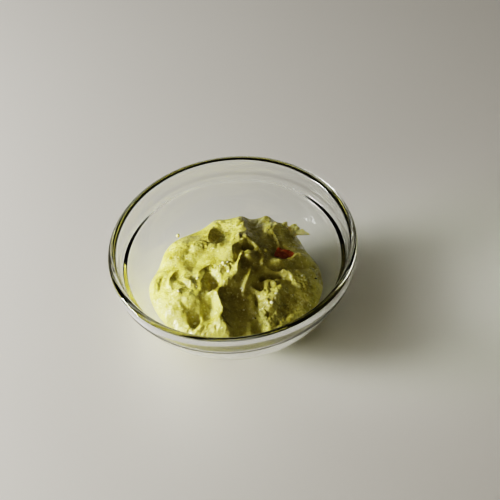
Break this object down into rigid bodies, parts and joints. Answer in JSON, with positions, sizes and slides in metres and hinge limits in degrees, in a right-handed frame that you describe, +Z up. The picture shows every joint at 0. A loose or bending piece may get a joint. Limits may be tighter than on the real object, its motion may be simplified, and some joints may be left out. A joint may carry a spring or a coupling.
{
  "type": "guacamole in a glass bowl",
  "caption": "Rough heap of pale green guacamole with folds, pits and a piece of tomato, in a small clear stacking bowl of pressed glass.",
  "frame": {"origin": "the middle of the bowl's foot, on the surface it stands on", "axes": "+Z up out of the bowl's mouth, +Y to the back of the heap, +X to its right"},
  "size_m": [0.12, 0.12, 0.052],
  "materials": {
    "glass": "clear pressed glass, polished",
    "guacamole": "moist mashed avocado, pale yellow green, wet highlights",
    "tomato": "wet red tomato flesh"
  },
  "bodies": {
    "root": {"bowl": "glass", "guacamole": "guacamole", "tomato_piece": "tomato"}
  },
  "joints": []
}
